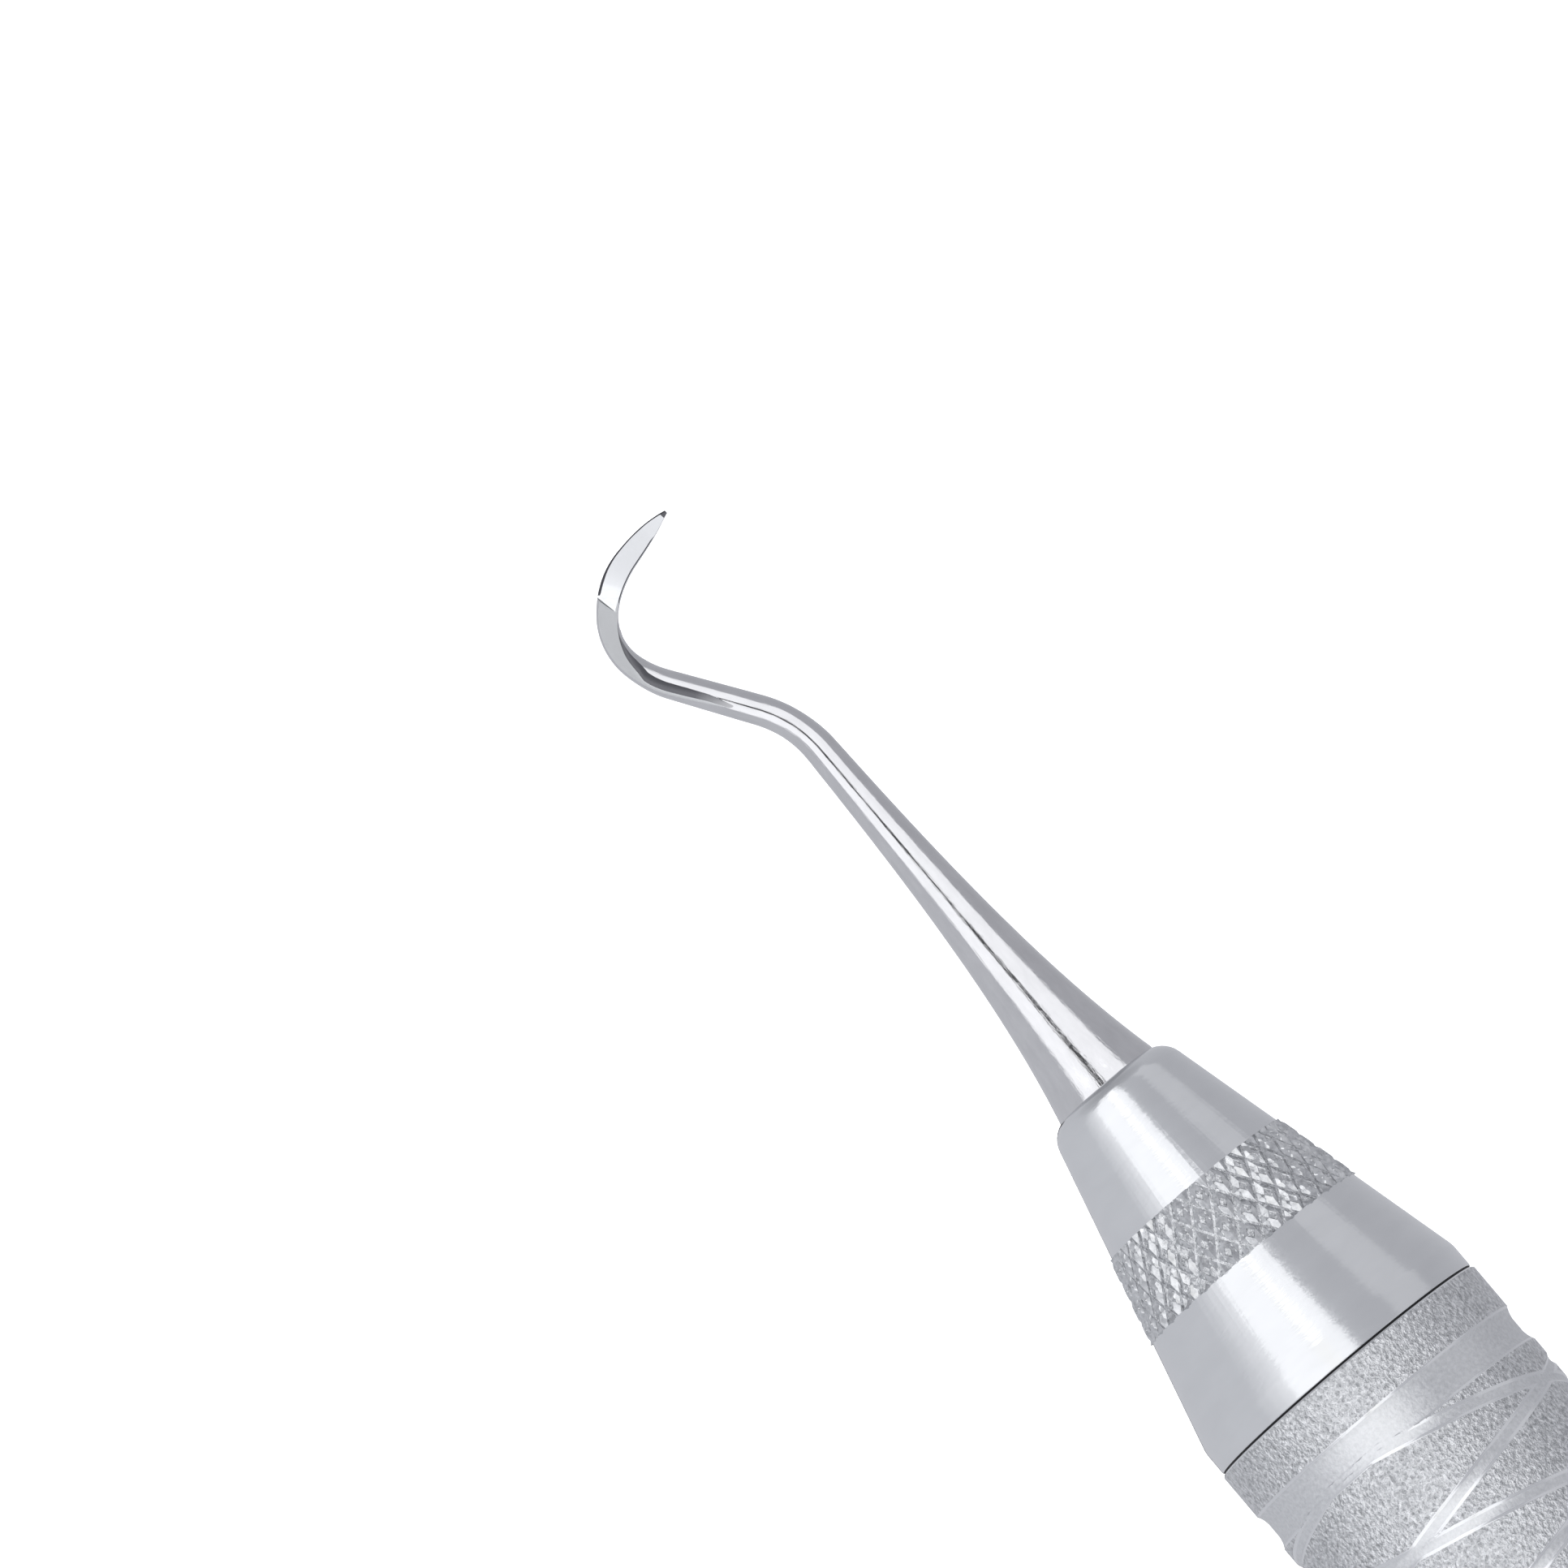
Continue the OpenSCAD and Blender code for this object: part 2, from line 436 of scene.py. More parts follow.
for half, drop in KNURL_RUNGS:
    pick_vertices(band, lambda p: knurl_distance(p) < half + merge)
    bpy.ops.transform.translate(value=(0, drop, 0))
picked = pick_vertices(band, lambda p: knurl_distance(p) > knurl_half + rim - merge)
bpy.ops.transform.translate(value=(0, crater_depth, 0))
deselect_all()
print("vertices in the tops", picked)

empty_slots(band, 3)
for face in band.data.polygons:
    on_wall = KNURL_RUNGS[1][0] < knurl_distance(face.center) < knurl_half
    face.material_index = WALL if on_wall else TORN

# %% Bend the band round and taper it on to the cone
bend_round(band, knurl_r)
narrow = band.modifiers.new("taper", "SIMPLE_DEFORM")
narrow.deform_method = "TAPER"
narrow.deform_axis = "X"
narrow.factor = -2 * half_len * math.sin(taper) / knurl_r
apply_modifiers(band)
band.scale = (math.cos(taper), 1, 1)
apply_place(band)

# The band becomes a closed ring that reaches well inside the cone's metal
band_inside = 0.5
edit(band)
for side in (-1, 1):
    x = side * knurl_len / 2
    radius = knurl_r - x * math.tan(taper)
    pick_vertices(band, lambda p: abs(p.x - x) < near)
    draw_ring((x, radius, radius, 0), x, radius - band_inside)


def inside_band(p):
    """True on the two loops that were drawn inwards."""
    at_end = abs(abs(p.x) - knurl_len / 2) < near
    return at_end and p.yz.length < knurl_r - p.x * math.tan(taper) - 0.8 * band_inside


pick_vertices(band, inside_band)
bpy.ops.mesh.bridge_edge_loops()
faces_outwards(band)
band.location = (joint_x + knurl_middle, 0, 0)
apply_place(band)
print("band faces", len(band.data.polygons))

# %% [markdown]
# ## The ferrule
# The ferrule is a turned piece: spigot, collar, cone and a rounded nose, bored for the tang. It
# starts as a circle and is drawn out loop by loop, as a lathe tool would follow it. A shallow
# channel is left where the band goes, and the band is joined to it with a boolean.

# %% A turned piece


def turn(name, outline, segments):
    """Draws a circle out along X through pairs of distance and radius, and leaves it in edit."""
    deselect_all()
    x, radius = outline[0]
    bpy.ops.mesh.primitive_circle_add(
        vertices=segments, radius=radius, location=(x, 0, 0), rotation=(0, math.pi / 2, 0)
    )
    obj = bpy.context.object
    obj.name = name
    apply_place(obj)
    edit(obj)
    loop = (x, radius, radius, 0)
    for x, radius in outline[1:]:
        loop = draw_ring(loop, x, radius)
    return obj, loop


def nose_outline(steps):
    """Points where the cone rounds over into the flat nose."""
    length = nose_x - joint_x
    tangent = nose_round * math.tan((math.pi / 2 - taper) / 2)
    middle_r = taper_r(length) - tangent
    for i in range(steps + 1):
        a = taper + (math.pi / 2 - taper) * i / steps
        yield length - nose_round + nose_round * math.sin(a), middle_r + nose_round * math.cos(a)


# %% Turn the ferrule
knurl_end = knurl_start + knurl_len
channel_depth = 0.1
# The channel is this much shorter than the band at each end, so that the two overlap
overlap = 0.01
# A thin lip of the collar reaches over the joint ring and leaves only a hairline of it
lip_len = 0.075
lip_clear = 0.005
lip_r = ring_high.z + lip_clear
lip_bevel_in = 0.02
lip_bevel_len = 0.03
collar_ease = 0.08
ferrule_outline = [
    (spigot_x - joint_x, tang_r),
    (spigot_x - joint_x, wall_r - spigot_bevel),
    (spigot_x - joint_x + spigot_bevel, wall_r),
    (0, wall_r),
    (0, lip_r),
    (-lip_len, lip_r),
    (-lip_len, collar_r - lip_bevel_in),
    (-lip_len + lip_bevel_len, collar_r),
    (collar_len - collar_ease, collar_r),
    (collar_len + collar_ease, taper_r(collar_len + collar_ease)),
    (knurl_start + overlap, taper_r(knurl_start)),
    (knurl_start + overlap, taper_r(knurl_start) - channel_depth),
    (knurl_end - overlap, taper_r(knurl_end) - channel_depth),
    (knurl_end - overlap, taper_r(knurl_end)),
    *nose_outline(nose_steps),
    (nose_x - joint_x, tang_r),
    (spigot_x - joint_x, tang_r),
]
ferrule_profile = [(joint_x + x, radius) for x, radius in ferrule_outline]
front_ferrule, _ = turn("front_ferrule_turned", ferrule_profile, ferrule_segments)
faces_outwards(front_ferrule)


# %% Booleans


def combine(obj, other, operation):
    """Joins or cuts obj with another closed shape, which is used up."""
    boolean = obj.modifiers.new("boolean", "BOOLEAN")
    boolean.operation = operation
    boolean.solver = "EXACT"
    boolean.object = other
    apply_modifiers(obj)
    bpy.data.objects.remove(other)


empty_slots(front_ferrule, 3)
combine(front_ferrule, band, "UNION")
print("ferrule faces", len(front_ferrule.data.polygons))

# %% [markdown]
# ## The working end
# The real working end is one forging. Its round shank flares towards the ferrule, bends at the
# elbow, and curls over into the hook. It is easiest to make straight: drawn out as a rod, ground
# with cutters, and only then bent along its centre line, so that every cut is a simple one.

# %% Working end sizes
# Material slots: the forging's own, and those of its ground faces, of which the dark one carries
# painted shade
POLISHED, FLAT, PAINTED_DARK, FACET = range(4)
shank_len = 13.4
shank_base_r = tip_high.z - inside
shank_elbow_r = 0.525
flare_rate = 0.165
flare_start = 0.02
flare_step = 0.4
flare_steps = 32
shank_segments = 64
shank_sunk = 0.055
tang_bevel = 0.2
# Stretches of the centre line after the nose: radius and angle, or 0 and a straight length
STRETCHES = [
    (0, shank_len),
    (3.95, 33.8),
    (0, 2.83),
    (3.5, -21.5),
    (1.95, -55.5),
    (2.95, -33.5),
    (17, -6.5),
]


def stretch_len(radius, amount):
    """Length of one stretch of the centre line."""
    return radius * math.radians(abs(amount)) if radius else amount


tip_s = sum(stretch_len(*stretch) for stretch in STRETCHES)


def flare_r(s):
    """Radius of the shank at a distance from the ferrule's nose."""
    end = math.exp(-flare_rate * shank_len)
    part = (math.exp(-flare_rate * s) - end) / (1 - end)
    return shank_elbow_r + (shank_base_r - shank_elbow_r) * part


# Distance along the centre line and: width in the plane of the hook
WIDTHS = [
    (13.4, 1.05),
    (14.5, 0.97),
    (16.3, 0.94),
    (18.7, 0.88),
    (19.3, 0.80),
    (19.9, 0.745),
    (20.5, 0.70),
    (21.1, 0.675),
    (21.7, 0.665),
    (22.3, 0.715),
    (22.9, 0.745),
    (23.5, 0.705),
    (24.1, 0.63),
    (24.7, 0.47),
    (25.3, 0.165),
    (tip_s, 0.06),
]
# and: thickness before grinding
THICKNESSES = [
    (13.4, 1.05),
    (16.3, 0.95),
    (18.7, 0.92),
    (21.9, 0.92),
    (22.5, 0.76),
    (24.1, 0.72),
    (24.9, 0.46),
    (tip_s, 0.16),
]
# and: metal that the inner face's grinding takes off
SPARE = [(21.0, 0), (21.7, 0.10), (24.5, 0.08), (tip_s, 0.03)]


def lookup(table, s):
    """The value of a table at s, on straight lines between its rows."""
    for (s0, a), (s1, b) in zip(table, table[1:]):
        if s < s1:
            return a + (b - a) * max(0, s - s0) / (s1 - s0)
    return table[-1][1]


def eased(table, s, reach=0.2):
    """The same with its corners rounded."""
    reach = min(reach, tip_s - s)
    return sum(lookup(table, s + reach * step) for step in (-1, -0.5, 0, 0.5, 1)) / 5


print("tip at", round(tip_s, 3), "along the centre line")

# %% Draw the straight rod
shank_outline = [
    (tang_x - nose_x, tang_r - tang_bevel),
    (tang_x - nose_x + tang_bevel, tang_r),
    (-shank_sunk, tang_r),
    (-shank_sunk, shank_base_r),
    (flare_start, flare_r(flare_start)),
    *[(flare_step * i, flare_r(flare_step * i)) for i in range(1, flare_steps + 1)],
]
front_end, loop = turn("front_end_forged", shank_outline, shank_segments)
empty_slots(front_end, 4)
ring_step = 0.12
point_round = 0.03
point_s = tip_s - point_round
rings = round((point_s - shank_len) / ring_step)
for i in range(rings + 1):
    s = shank_len + (point_s - shank_len) * i / rings
    spare = eased(SPARE, s)
    half_y = (eased(WIDTHS, s) + spare) / 2
    loop = draw_ring(loop, s, half_y, eased(THICKNESSES, s) / 2, -spare / 2)
bpy.ops.mesh.edge_face_add()
pick_vertices(front_end, lambda p: p.x < tang_x - nose_x + near)
bpy.ops.mesh.edge_face_add()
faces_outwards(front_end)
print("rod faces", len(front_end.data.polygons))

# %% [markdown]
# ## Grinding the hook
# Each ground face of the hook is the path of a wheel. A cutter is made as the wheel's outline,
# drawn along that path in short steps, so that the faces that it leaves can still be bent.
# The end has four material slots, and a boolean gives each cut face the slot of the cutter.

# %% Cutters
cutter_step = 0.1


def stations(first, last, step=1):
    """Distances along the centre line in millimetres, counted off in tenths."""
    return [tenth / 10 for tenth in range(first, last, step)]


def cutter(name, outline, path, slot, whole=0):
    """A solid with an outline of [y, z] points, drawn along [s, y, z] stations.

    The faces that it cuts get the material slot that its own faces have. The first spans of
    the path, as many as whole, are drawn in one step each.
    """
    deselect_all()
    bpy.ops.mesh.primitive_circle_add(
        vertices=len(outline), radius=0.01, fill_type="NGON", rotation=(0, math.pi / 2, 0)
    )
    obj = bpy.context.object
    obj.name = name
    apply_place(obj)
    edit(obj)
    mesh = bmesh.from_edit_mesh(obj.data)
    mesh.verts.ensure_lookup_table()
    for i, (y, z) in enumerate(outline):
        mesh.verts[i].co = (path[0][0], path[0][1] + y, path[0][2] + z)
    bmesh.update_edit_mesh(obj.data)
    bpy.ops.mesh.select_all(action="SELECT")
    for i, (start, end) in enumerate(zip(path, path[1:])):
        steps = 1 if i < whole else max(1, round((end[0] - start[0]) / cutter_step))
        move = (Vector(end) - Vector(start)) / steps
        for _ in range(steps):
            bpy.ops.mesh.extrude_region_move(TRANSFORM_OT_translate={"value": move})
    faces_outwards(obj)
    empty_slots(obj, 4)
    for face in obj.data.polygons:
        face.material_index = slot
    return obj


def other_side(obj):
    """A copy of a cutter for the other side of the hook's plane."""
    only(obj)
    bpy.ops.object.duplicate()
    copy = bpy.context.object
    copy.scale = (1, 1, -1)
    apply_place(copy)
    faces_outwards(copy)
    return copy


# %% Side flats with their hollow wall
FLAT_OUTLINE = [
    (1.2, 0),
    (0, 0),
    (-0.10, 0.03),
    (-0.22, 0.10),
    (-0.35, 0.24),
    (-0.50, 0.60),
    (-0.50, 1.0),
    (1.2, 1.0),
]
FLAT_PATH = [
    (15.5, 0.30, 0.53),
    (15.9, 0.26, 0.475),
    (16.5, 0.21, 0.43),
    (17.3, 0.19, 0.375),
    (18.0, 0.225, 0.335),
    (18.6, 0.24, 0.31),
    (19.05, 0.23, 0.295),
    (19.3, 0.205, 0.29),
    (19.57, 0.086, 0.285),
    (19.85, 0.01, 0.28),
    (20.2, -0.075, 0.28),
    (20.5, -0.155, 0.28),
    (20.95, -0.25, 0.28),
    (21.25, -0.29, 0.28),
    (21.6, -0.36, 0.28),
    (22.0, -0.60, 0.28),
    (26.0, -0.70, 0.28),
]
# The cutter's sides leave the hollow wall, which takes the painted shade; its bottom leaves the
# flat
flat = cutter("flat", FLAT_OUTLINE, FLAT_PATH, PAINTED_DARK)
for face in flat.data.polygons:
    if face.normal.z < -0.99:
        face.material_index = FLAT
for wheel in (other_side(flat), flat):
    combine(front_end, wheel, "DIFFERENCE")
print("faces after the flats", len(front_end.data.polygons))

# %% Inner face of the blade
inner_path = [(20.9, -0.60, 0)]
inner_path += [(s, -eased(WIDTHS, s) / 2, 0) for s in stations(211, 255, 2)]
inner_path.append((26.0, 0.0, 0))
inner = cutter("inner", [(0, -1), (0, 1), (-0.5, 1), (-0.5, -1)], inner_path, FACET)
combine(front_end, inner, "DIFFERENCE")

# %% Blade facets, thinner towards the back
facet_tilt = math.tan(math.radians(16))
FACET_OUTLINE = [(0.6, -0.6 * facet_tilt), (0.6, 0.8), (-0.6, 0.8), (-0.6, 0.6 * facet_tilt)]
FACET_PATH = [
    (21.85, 0, 0.40),
    (21.89, 0, 0.190),
    (22.50, 0, 0.175),
    (23.28, 0, 0.150),
    (24.50, 0, 0.115),
    (25.00, 0, 0.085),
    (26.00, 0, 0.020),
]
# The wheel meets the hook at a slant, so the first stations are turned to make the heel
heel_end = 21.95
heel_middle = (21.90, -0.05, 0)
heel_turn = math.radians(32)
facet = cutter("facet", FACET_OUTLINE, FACET_PATH, FACET, whole=2)
edit(facet)
pick_vertices(facet, lambda p: p.x < heel_end)
bpy.ops.transform.rotate(value=heel_turn, orient_axis="Z", center_override=heel_middle)
deselect_all()
# The heel's faces take the painted shade, which draws a dark line at the heel
for face in facet.data.polygons:
    if face.center.x < heel_end:
        face.material_index = PAINTED_DARK
for wheel in (other_side(facet), facet):
    combine(front_end, wheel, "DIFFERENCE")

# %% [markdown]
# ## Narrow dark lines beside the facets, in painted shade
# A narrow relief runs along the blade's back and a hairline bevel along its cutting edge. Both
# lean away from the facet, and they carry the painted shade, which draws the blade's outline as a
# dark line. The cutters follow the facet's own height, so a line doesn't widen as the blade thins
# out.

# %% Relief along the back and bevel along the cutting edge
relief_w = 0.09
edge_w = 0.03
# The least height of the back that the relief leaves over the hook's plane
back_left = 0.01
relief_tilt = math.tan(math.radians(42))
RELIEF_OUTLINE = [(0.3, -0.3 * relief_tilt), (0.3, 0.5), (-0.2, 0.5), (-0.2, 0.2 * relief_tilt)]
EDGE_OUTLINE = [(-y, z) for y, z in RELIEF_OUTLINE]


def facet_height(s, y):
    """Height of the facet over the hook's plane."""
    return lookup([(p[0], p[2]) for p in FACET_PATH], s) - y * facet_tilt


def relief_station(s):
    """Where the relief meets the facet. It runs in after the heel and never thins the back away."""
    half = eased(WIDTHS, s) / 2
    width = lookup([(22.05, -0.02), (22.2, 0.08), (22.4, relief_w)], s)
    widest = (facet_height(s, half) - back_left) / (relief_tilt - facet_tilt)
    y = half - min(width, widest)
    return s, y, facet_height(s, y)


def edge_station(s):
    """The same for the cutting edge, where it stays a hairline and stops before the point."""
    width = lookup([(21.8, -0.02), (22.2, edge_w), (24.4, edge_w), (24.7, -0.02)], s)
    y = width - eased(WIDTHS, s) / 2
    return s, y, facet_height(s, y)


# The relief starts clear of the metal, just past the heel
relief_path = [(22.1, eased(WIDTHS, 22.1) / 2 + 0.03, 0.30)]
relief_path += [relief_station(s) for s in stations(222, 255)]
edge_path = [edge_station(s) for s in stations(218, 249, 2)]
# Both cutters leave faces in the slot of painted shade
relief = cutter("relief", RELIEF_OUTLINE, relief_path, PAINTED_DARK)
edge = cutter("edge", EDGE_OUTLINE, edge_path, PAINTED_DARK)
for wheel in (other_side(relief), relief, other_side(edge), edge):
    combine(front_end, wheel, "DIFFERENCE")
print("faces after the facets", len(front_end.data.polygons))

# %% [markdown]
# ## Bending the end along its centre line
# The guide is a flat curve made of the same arcs as the CAD centre line. A Curve modifier lays
# the straight rod along it. The polishing marks have to follow the bend too, so each point first
# stores its straight place as an attribute, which the finishes read.

# %% Centre line


def pose_at(s):
    """Place and heading on the centre line at a distance from the nose."""
    x, y, heading = 0.0, 0.0, 0.0
    for radius, amount in STRETCHES:
        length = stretch_len(radius, amount)
        part = min(s, length)
        if radius:
            side = math.copysign(radius, amount)
            turned = heading + part / side
            x += side * (math.sin(turned) - math.sin(heading))
            y += side * (math.cos(heading) - math.cos(turned))
            heading = turned
        else:
            x += part * math.cos(heading)
            y += part * math.sin(heading)
        s -= part
        if s <= 0:
            break
    return x, y, heading


guide_data = bpy.data.curves.new("centre_line", "CURVE")
guide_data.dimensions = "2D"
guide_steps = 300
spline = guide_data.splines.new("POLY")
spline.points.add(guide_steps)
for i, point in enumerate(spline.points):
    x, y, heading = pose_at(tip_s * i / guide_steps)
    point.co = (x, y, 0, 1)
guide = bpy.data.objects.new("centre_line", guide_data)
bpy.context.scene.collection.objects.link(guide)


# %% Bend
def keep_straight_place(obj):
    """Stores each point's place as an attribute that bending doesn't change."""
    mesh = obj.data
    store = mesh.attributes.new("straight", "FLOAT_VECTOR", "POINT")
    for item, v in zip(store.data, mesh.vertices):
        item.vector = v.co


keep_straight_place(front_end)
# The last of the point takes the painted shade, a dark patch at the tip
point_start = 25.17
for face in front_end.data.polygons:
    if face.material_index == FACET and face.center.x > point_start:
        face.material_index = PAINTED_DARK
slots = [face.material_index for face in front_end.data.polygons]
print("faces of each finish", [slots.count(i) for i in range(4)])

follow = front_end.modifiers.new("bend", "CURVE")
follow.object = guide
follow.deform_axis = "POS_X"
apply_modifiers(front_end)
bpy.data.objects.remove(guide)
front_end.location = (nose_x, 0, 0)
apply_place(front_end)
print("CAD node", [round(v, 3) for v in (*tip_low, *tip_high)])

# %% [markdown]
# ## Finishes
# All the metal is one stainless steel, and what sets the surfaces apart is how each was worked:
# blasted with beads, turned, polished along its length, or ground on a wheel. Each metal finish
# is a fully metallic shader with noise patterns of its own, which raise the surface, spread its
# roughness and often its colour. Deep or torn faces get a darker metal, which is painted shade,
# because the plain studio gives them nothing dark to reflect. Marks that run along a straight axis
# read object coordinates, in metres. Marks on the bent end read the stored straight place, in
# millimetres.

# %% Node helpers


def new_finish(name, color, metallic, roughness):
    """A material with one Principled shader; returns it and the shader."""
    material = bpy.data.materials.new(name)
    material.use_nodes = True
    shader = material.node_tree.nodes["Principled BSDF"]
    shader.inputs["Base Color"].default_value = (*color, 1)
    shader.inputs["Metallic"].default_value = metallic
    shader.inputs["Roughness"].default_value = roughness
    return material, shader


def add(material, kind, **settings):
    """Adds a node; settings are its inputs, with _ for a space."""
    node = material.node_tree.nodes.new(kind)
    for name, value in settings.items():
        node.inputs[name.replace("_", " ")].default_value = value
    return node


def join(material, source, target):
    """Links an output socket to an input socket."""
    material.node_tree.links.new(source, target)


def place_of(material, straight):
    """The socket that says where a point is: on the straight end, or on the object."""
    if straight:
        node = add(material, "ShaderNodeAttribute")
        node.attribute_name = "straight"
        return node.outputs["Vector"]
    return add(material, "ShaderNodeTexCoord").outputs["Object"]


def marks(material, straight, scale, detail=2.0):
    """Noise stretched by a scale for each axis; returns its output from 0 to 1."""
    mapping = add(material, "ShaderNodeMapping", Scale=scale)
    join(material, place_of(material, straight), mapping.inputs["Vector"])
    noise = add(material, "ShaderNodeTexNoise", Scale=1.0, Detail=detail, Roughness=0.6)
    join(material, mapping.outputs["Vector"], noise.inputs["Vector"])
    return noise.outputs["Fac"]


def ranged(tree, value, start, end):
    """Turns a value into another; start and end are pairs of a value and what it becomes."""
    node = add(tree, "ShaderNodeMapRange", From_Min=start[0], From_Max=end[0])
    node.inputs["To Min"].default_value = start[1]
    node.inputs["To Max"].default_value = end[1]
    join(tree, value, node.inputs["Value"])
    return node.outputs["Result"]


def spread(material, value, low, high):
    """Spreads the middle of a noise, from 0.3 to 0.7, over low to high."""
    return ranged(material, value, (0.3, low), (0.7, high))


def blend(tree, value, first, second):
    """A colour that runs from the first to the second with a value."""
    mix = add(tree, "ShaderNodeMix")
    mix.data_type = "RGBA"
    join(tree, value, mix.inputs["Factor"])
    colour_a, colour_b = [socket for socket in mix.inputs if socket.type == "RGBA"]
    colour_a.default_value = (*first, 1)
    colour_b.default_value = (*second, 1)
    return next(socket for socket in mix.outputs if socket.type == "RGBA")


def roughen(material, shader, value, smoothest, roughest):
    """Spreads the roughness with a noise."""
    join(material, spread(material, value, smoothest, roughest), shader.inputs["Roughness"])


def colour(material, shader, value, dark, light):
    """Spreads the base colour with a noise."""
    tone = blend(material, spread(material, value, 0, 1), dark, light)
    join(material, tone, shader.inputs["Base Color"])


def raise_by(material, shader, value, distance):
    """Raises and lowers the surface with a value, by a distance in metres."""
    bump = add(material, "ShaderNodeBump", Strength=1.0, Distance=distance)
    join(material, value, bump.inputs["Height"])
    join(material, bump.outputs["Normal"], shader.inputs["Normal"])


# %% [markdown]
# ### Blasted steel and the grooves
# Beads leave small round dimples that catch the light one by one, so a fine noise drives both a
# strong bump and a wide run of tones; the tones are partly the steel's grain and partly painted
# glints and painted shade of single dimples. A groove's edges are polished with faint lines round
# the grip, and its floor is duller, with a trace of the grain.

# %% Blasted steel and the grooves in it
blasted, shader = new_finish("blasted_steel", (0.66, 0.67, 0.68), 1.0, 0.45)
grain = marks(blasted, False, (7500, 7500, 7500), 3.0)
patches = marks(blasted, False, (900, 900, 900))
raise_by(blasted, shader, grain, 1.1e-4)
roughen(blasted, shader, patches, 0.27, 0.37)
# The wide run of tones paints glints and shade on single dimples, besides the steel's own grain
colour(blasted, shader, grain, (0.42, 0.43, 0.44), (0.94, 0.95, 0.96))

groove_polish, shader = new_finish("groove_polish", (0.80, 0.81, 0.82), 1.0, 0.16)
lines = marks(groove_polish, False, (26000, 700, 700))
raise_by(groove_polish, shader, lines, 1.5e-6)
roughen(groove_polish, shader, lines, 0.14, 0.21)

groove_floor, shader = new_finish("groove_floor", (0.76, 0.77, 0.78), 1.0, 0.4)
grain = marks(groove_floor, False, (8000, 8000, 8000), 3.0)
raise_by(groove_floor, shader, grain, 1.2e-5)
roughen(groove_floor, shader, grain, 0.36, 0.46)
colour(groove_floor, shader, grain, (0.66, 0.67, 0.68), (0.80, 0.81, 0.82))

# %% [markdown]
# ### Turned and knurled steel
# The ferrule's cone is turned to a satin, so its marks are stretched round the axis. The knurl's
# tops are torn, which takes a strong bump and a wide run of tones, kept darker than the cone as
# painted shade, and the walls of its grooves are pressed smooth but lie deeper, in a darker metal
# that is painted shade.

# %% Turned satin steel, and the knurl's tops and walls, darkened as painted shade
satin, shader = new_finish("satin_turned_steel", (0.76, 0.77, 0.78), 1.0, 0.3)
lines = marks(satin, False, (9000, 2200, 2200), 3.0)
patches = marks(satin, False, (1500, 500, 500))
raise_by(satin, shader, lines, 8e-6)
roughen(satin, shader, lines, 0.13, 0.19)
colour(satin, shader, patches, (0.75, 0.76, 0.77), (0.78, 0.79, 0.80))

# The tops' tones run darker than the cone's: partly torn grain, partly painted shade
knurled, shader = new_finish("knurl_tops_tone_and_shade", (0.74, 0.75, 0.76), 1.0, 0.2)
torn = marks(knurled, False, (6500, 6500, 6500), 3.0)
raise_by(knurled, shader, torn, 8.5e-5)
roughen(knurled, shader, torn, 0.14, 0.26)
colour(knurled, shader, torn, (0.38, 0.39, 0.40), (0.84, 0.85, 0.86))

# The walls' darker metal is painted shade in the grooves
shaded_knurl_wall, shader = new_finish("knurl_wall_painted_shade", (0.52, 0.53, 0.54), 1.0, 0.2)
torn = marks(shaded_knurl_wall, False, (5000, 5000, 5000), 3.0)
raise_by(shaded_knurl_wall, shader, torn, 1.2e-5)
roughen(shaded_knurl_wall, shader, torn, 0.12, 0.22)
colour(shaded_knurl_wall, shader, torn, (0.50, 0.51, 0.52), (0.78, 0.79, 0.80))

# %% [markdown]
# ### The working end's steel
# The shank is polished along its length and the flats and facets are ground. The hollow wall
# beside a flat gets a very dark colour, which is painted shade. The painted shade starts as light
# as the shank, so that it fades in along the end instead of starting at a hard line.

# %% Polished and ground surfaces of the working end, and its painted shade
polish, shader = new_finish("lengthwise_polish", (0.67, 0.67, 0.68), 1.0, 0.14)
lines = marks(polish, True, (0.3, 15, 15), 3.0)
patches = marks(polish, True, (1.2, 2.5, 2.5))
raise_by(polish, shader, lines, 4e-6)
roughen(polish, shader, lines, 0.05, 0.13)
colour(polish, shader, patches, (0.65, 0.65, 0.66), (0.70, 0.70, 0.71))

flat_ground, shader = new_finish("flat_ground_steel", (0.57, 0.58, 0.59), 1.0, 0.36)
lines = marks(flat_ground, True, (3, 24, 24), 3.0)
raise_by(flat_ground, shader, lines, 0.6e-6)
roughen(flat_ground, shader, lines, 0.33, 0.40)

# A dark colour painted on the hollow wall, the heel, the narrow lines and the point, as painted
# shade
painted_shade, shader = new_finish("painted_shade_steel", (0.19, 0.19, 0.20), 1.0, 0.30)
lines = marks(painted_shade, True, (1.5, 20, 20), 3.0)
raise_by(painted_shade, shader, lines, 1.5e-6)
roughen(painted_shade, shader, lines, 0.24, 0.36)
along_end = add(painted_shade, "ShaderNodeSeparateXYZ")
join(painted_shade, place_of(painted_shade, True), along_end.inputs["Vector"])
# The painted shade fades in along the end
shade_fade_in = ranged(painted_shade, along_end.outputs["X"], (15.8, 0), (17.7, 1))
tone = blend(painted_shade, shade_fade_in, (0.60, 0.60, 0.61), (0.13, 0.13, 0.14))
join(painted_shade, tone, shader.inputs["Base Color"])

facet_ground, shader = new_finish("blade_facet_steel", (0.80, 0.81, 0.82), 1.0, 0.2)
lines = marks(facet_ground, True, (10, 5, 5), 3.0)
raise_by(facet_ground, shader, lines, 1.2e-6)
roughen(facet_ground, shader, lines, 0.16, 0.26)

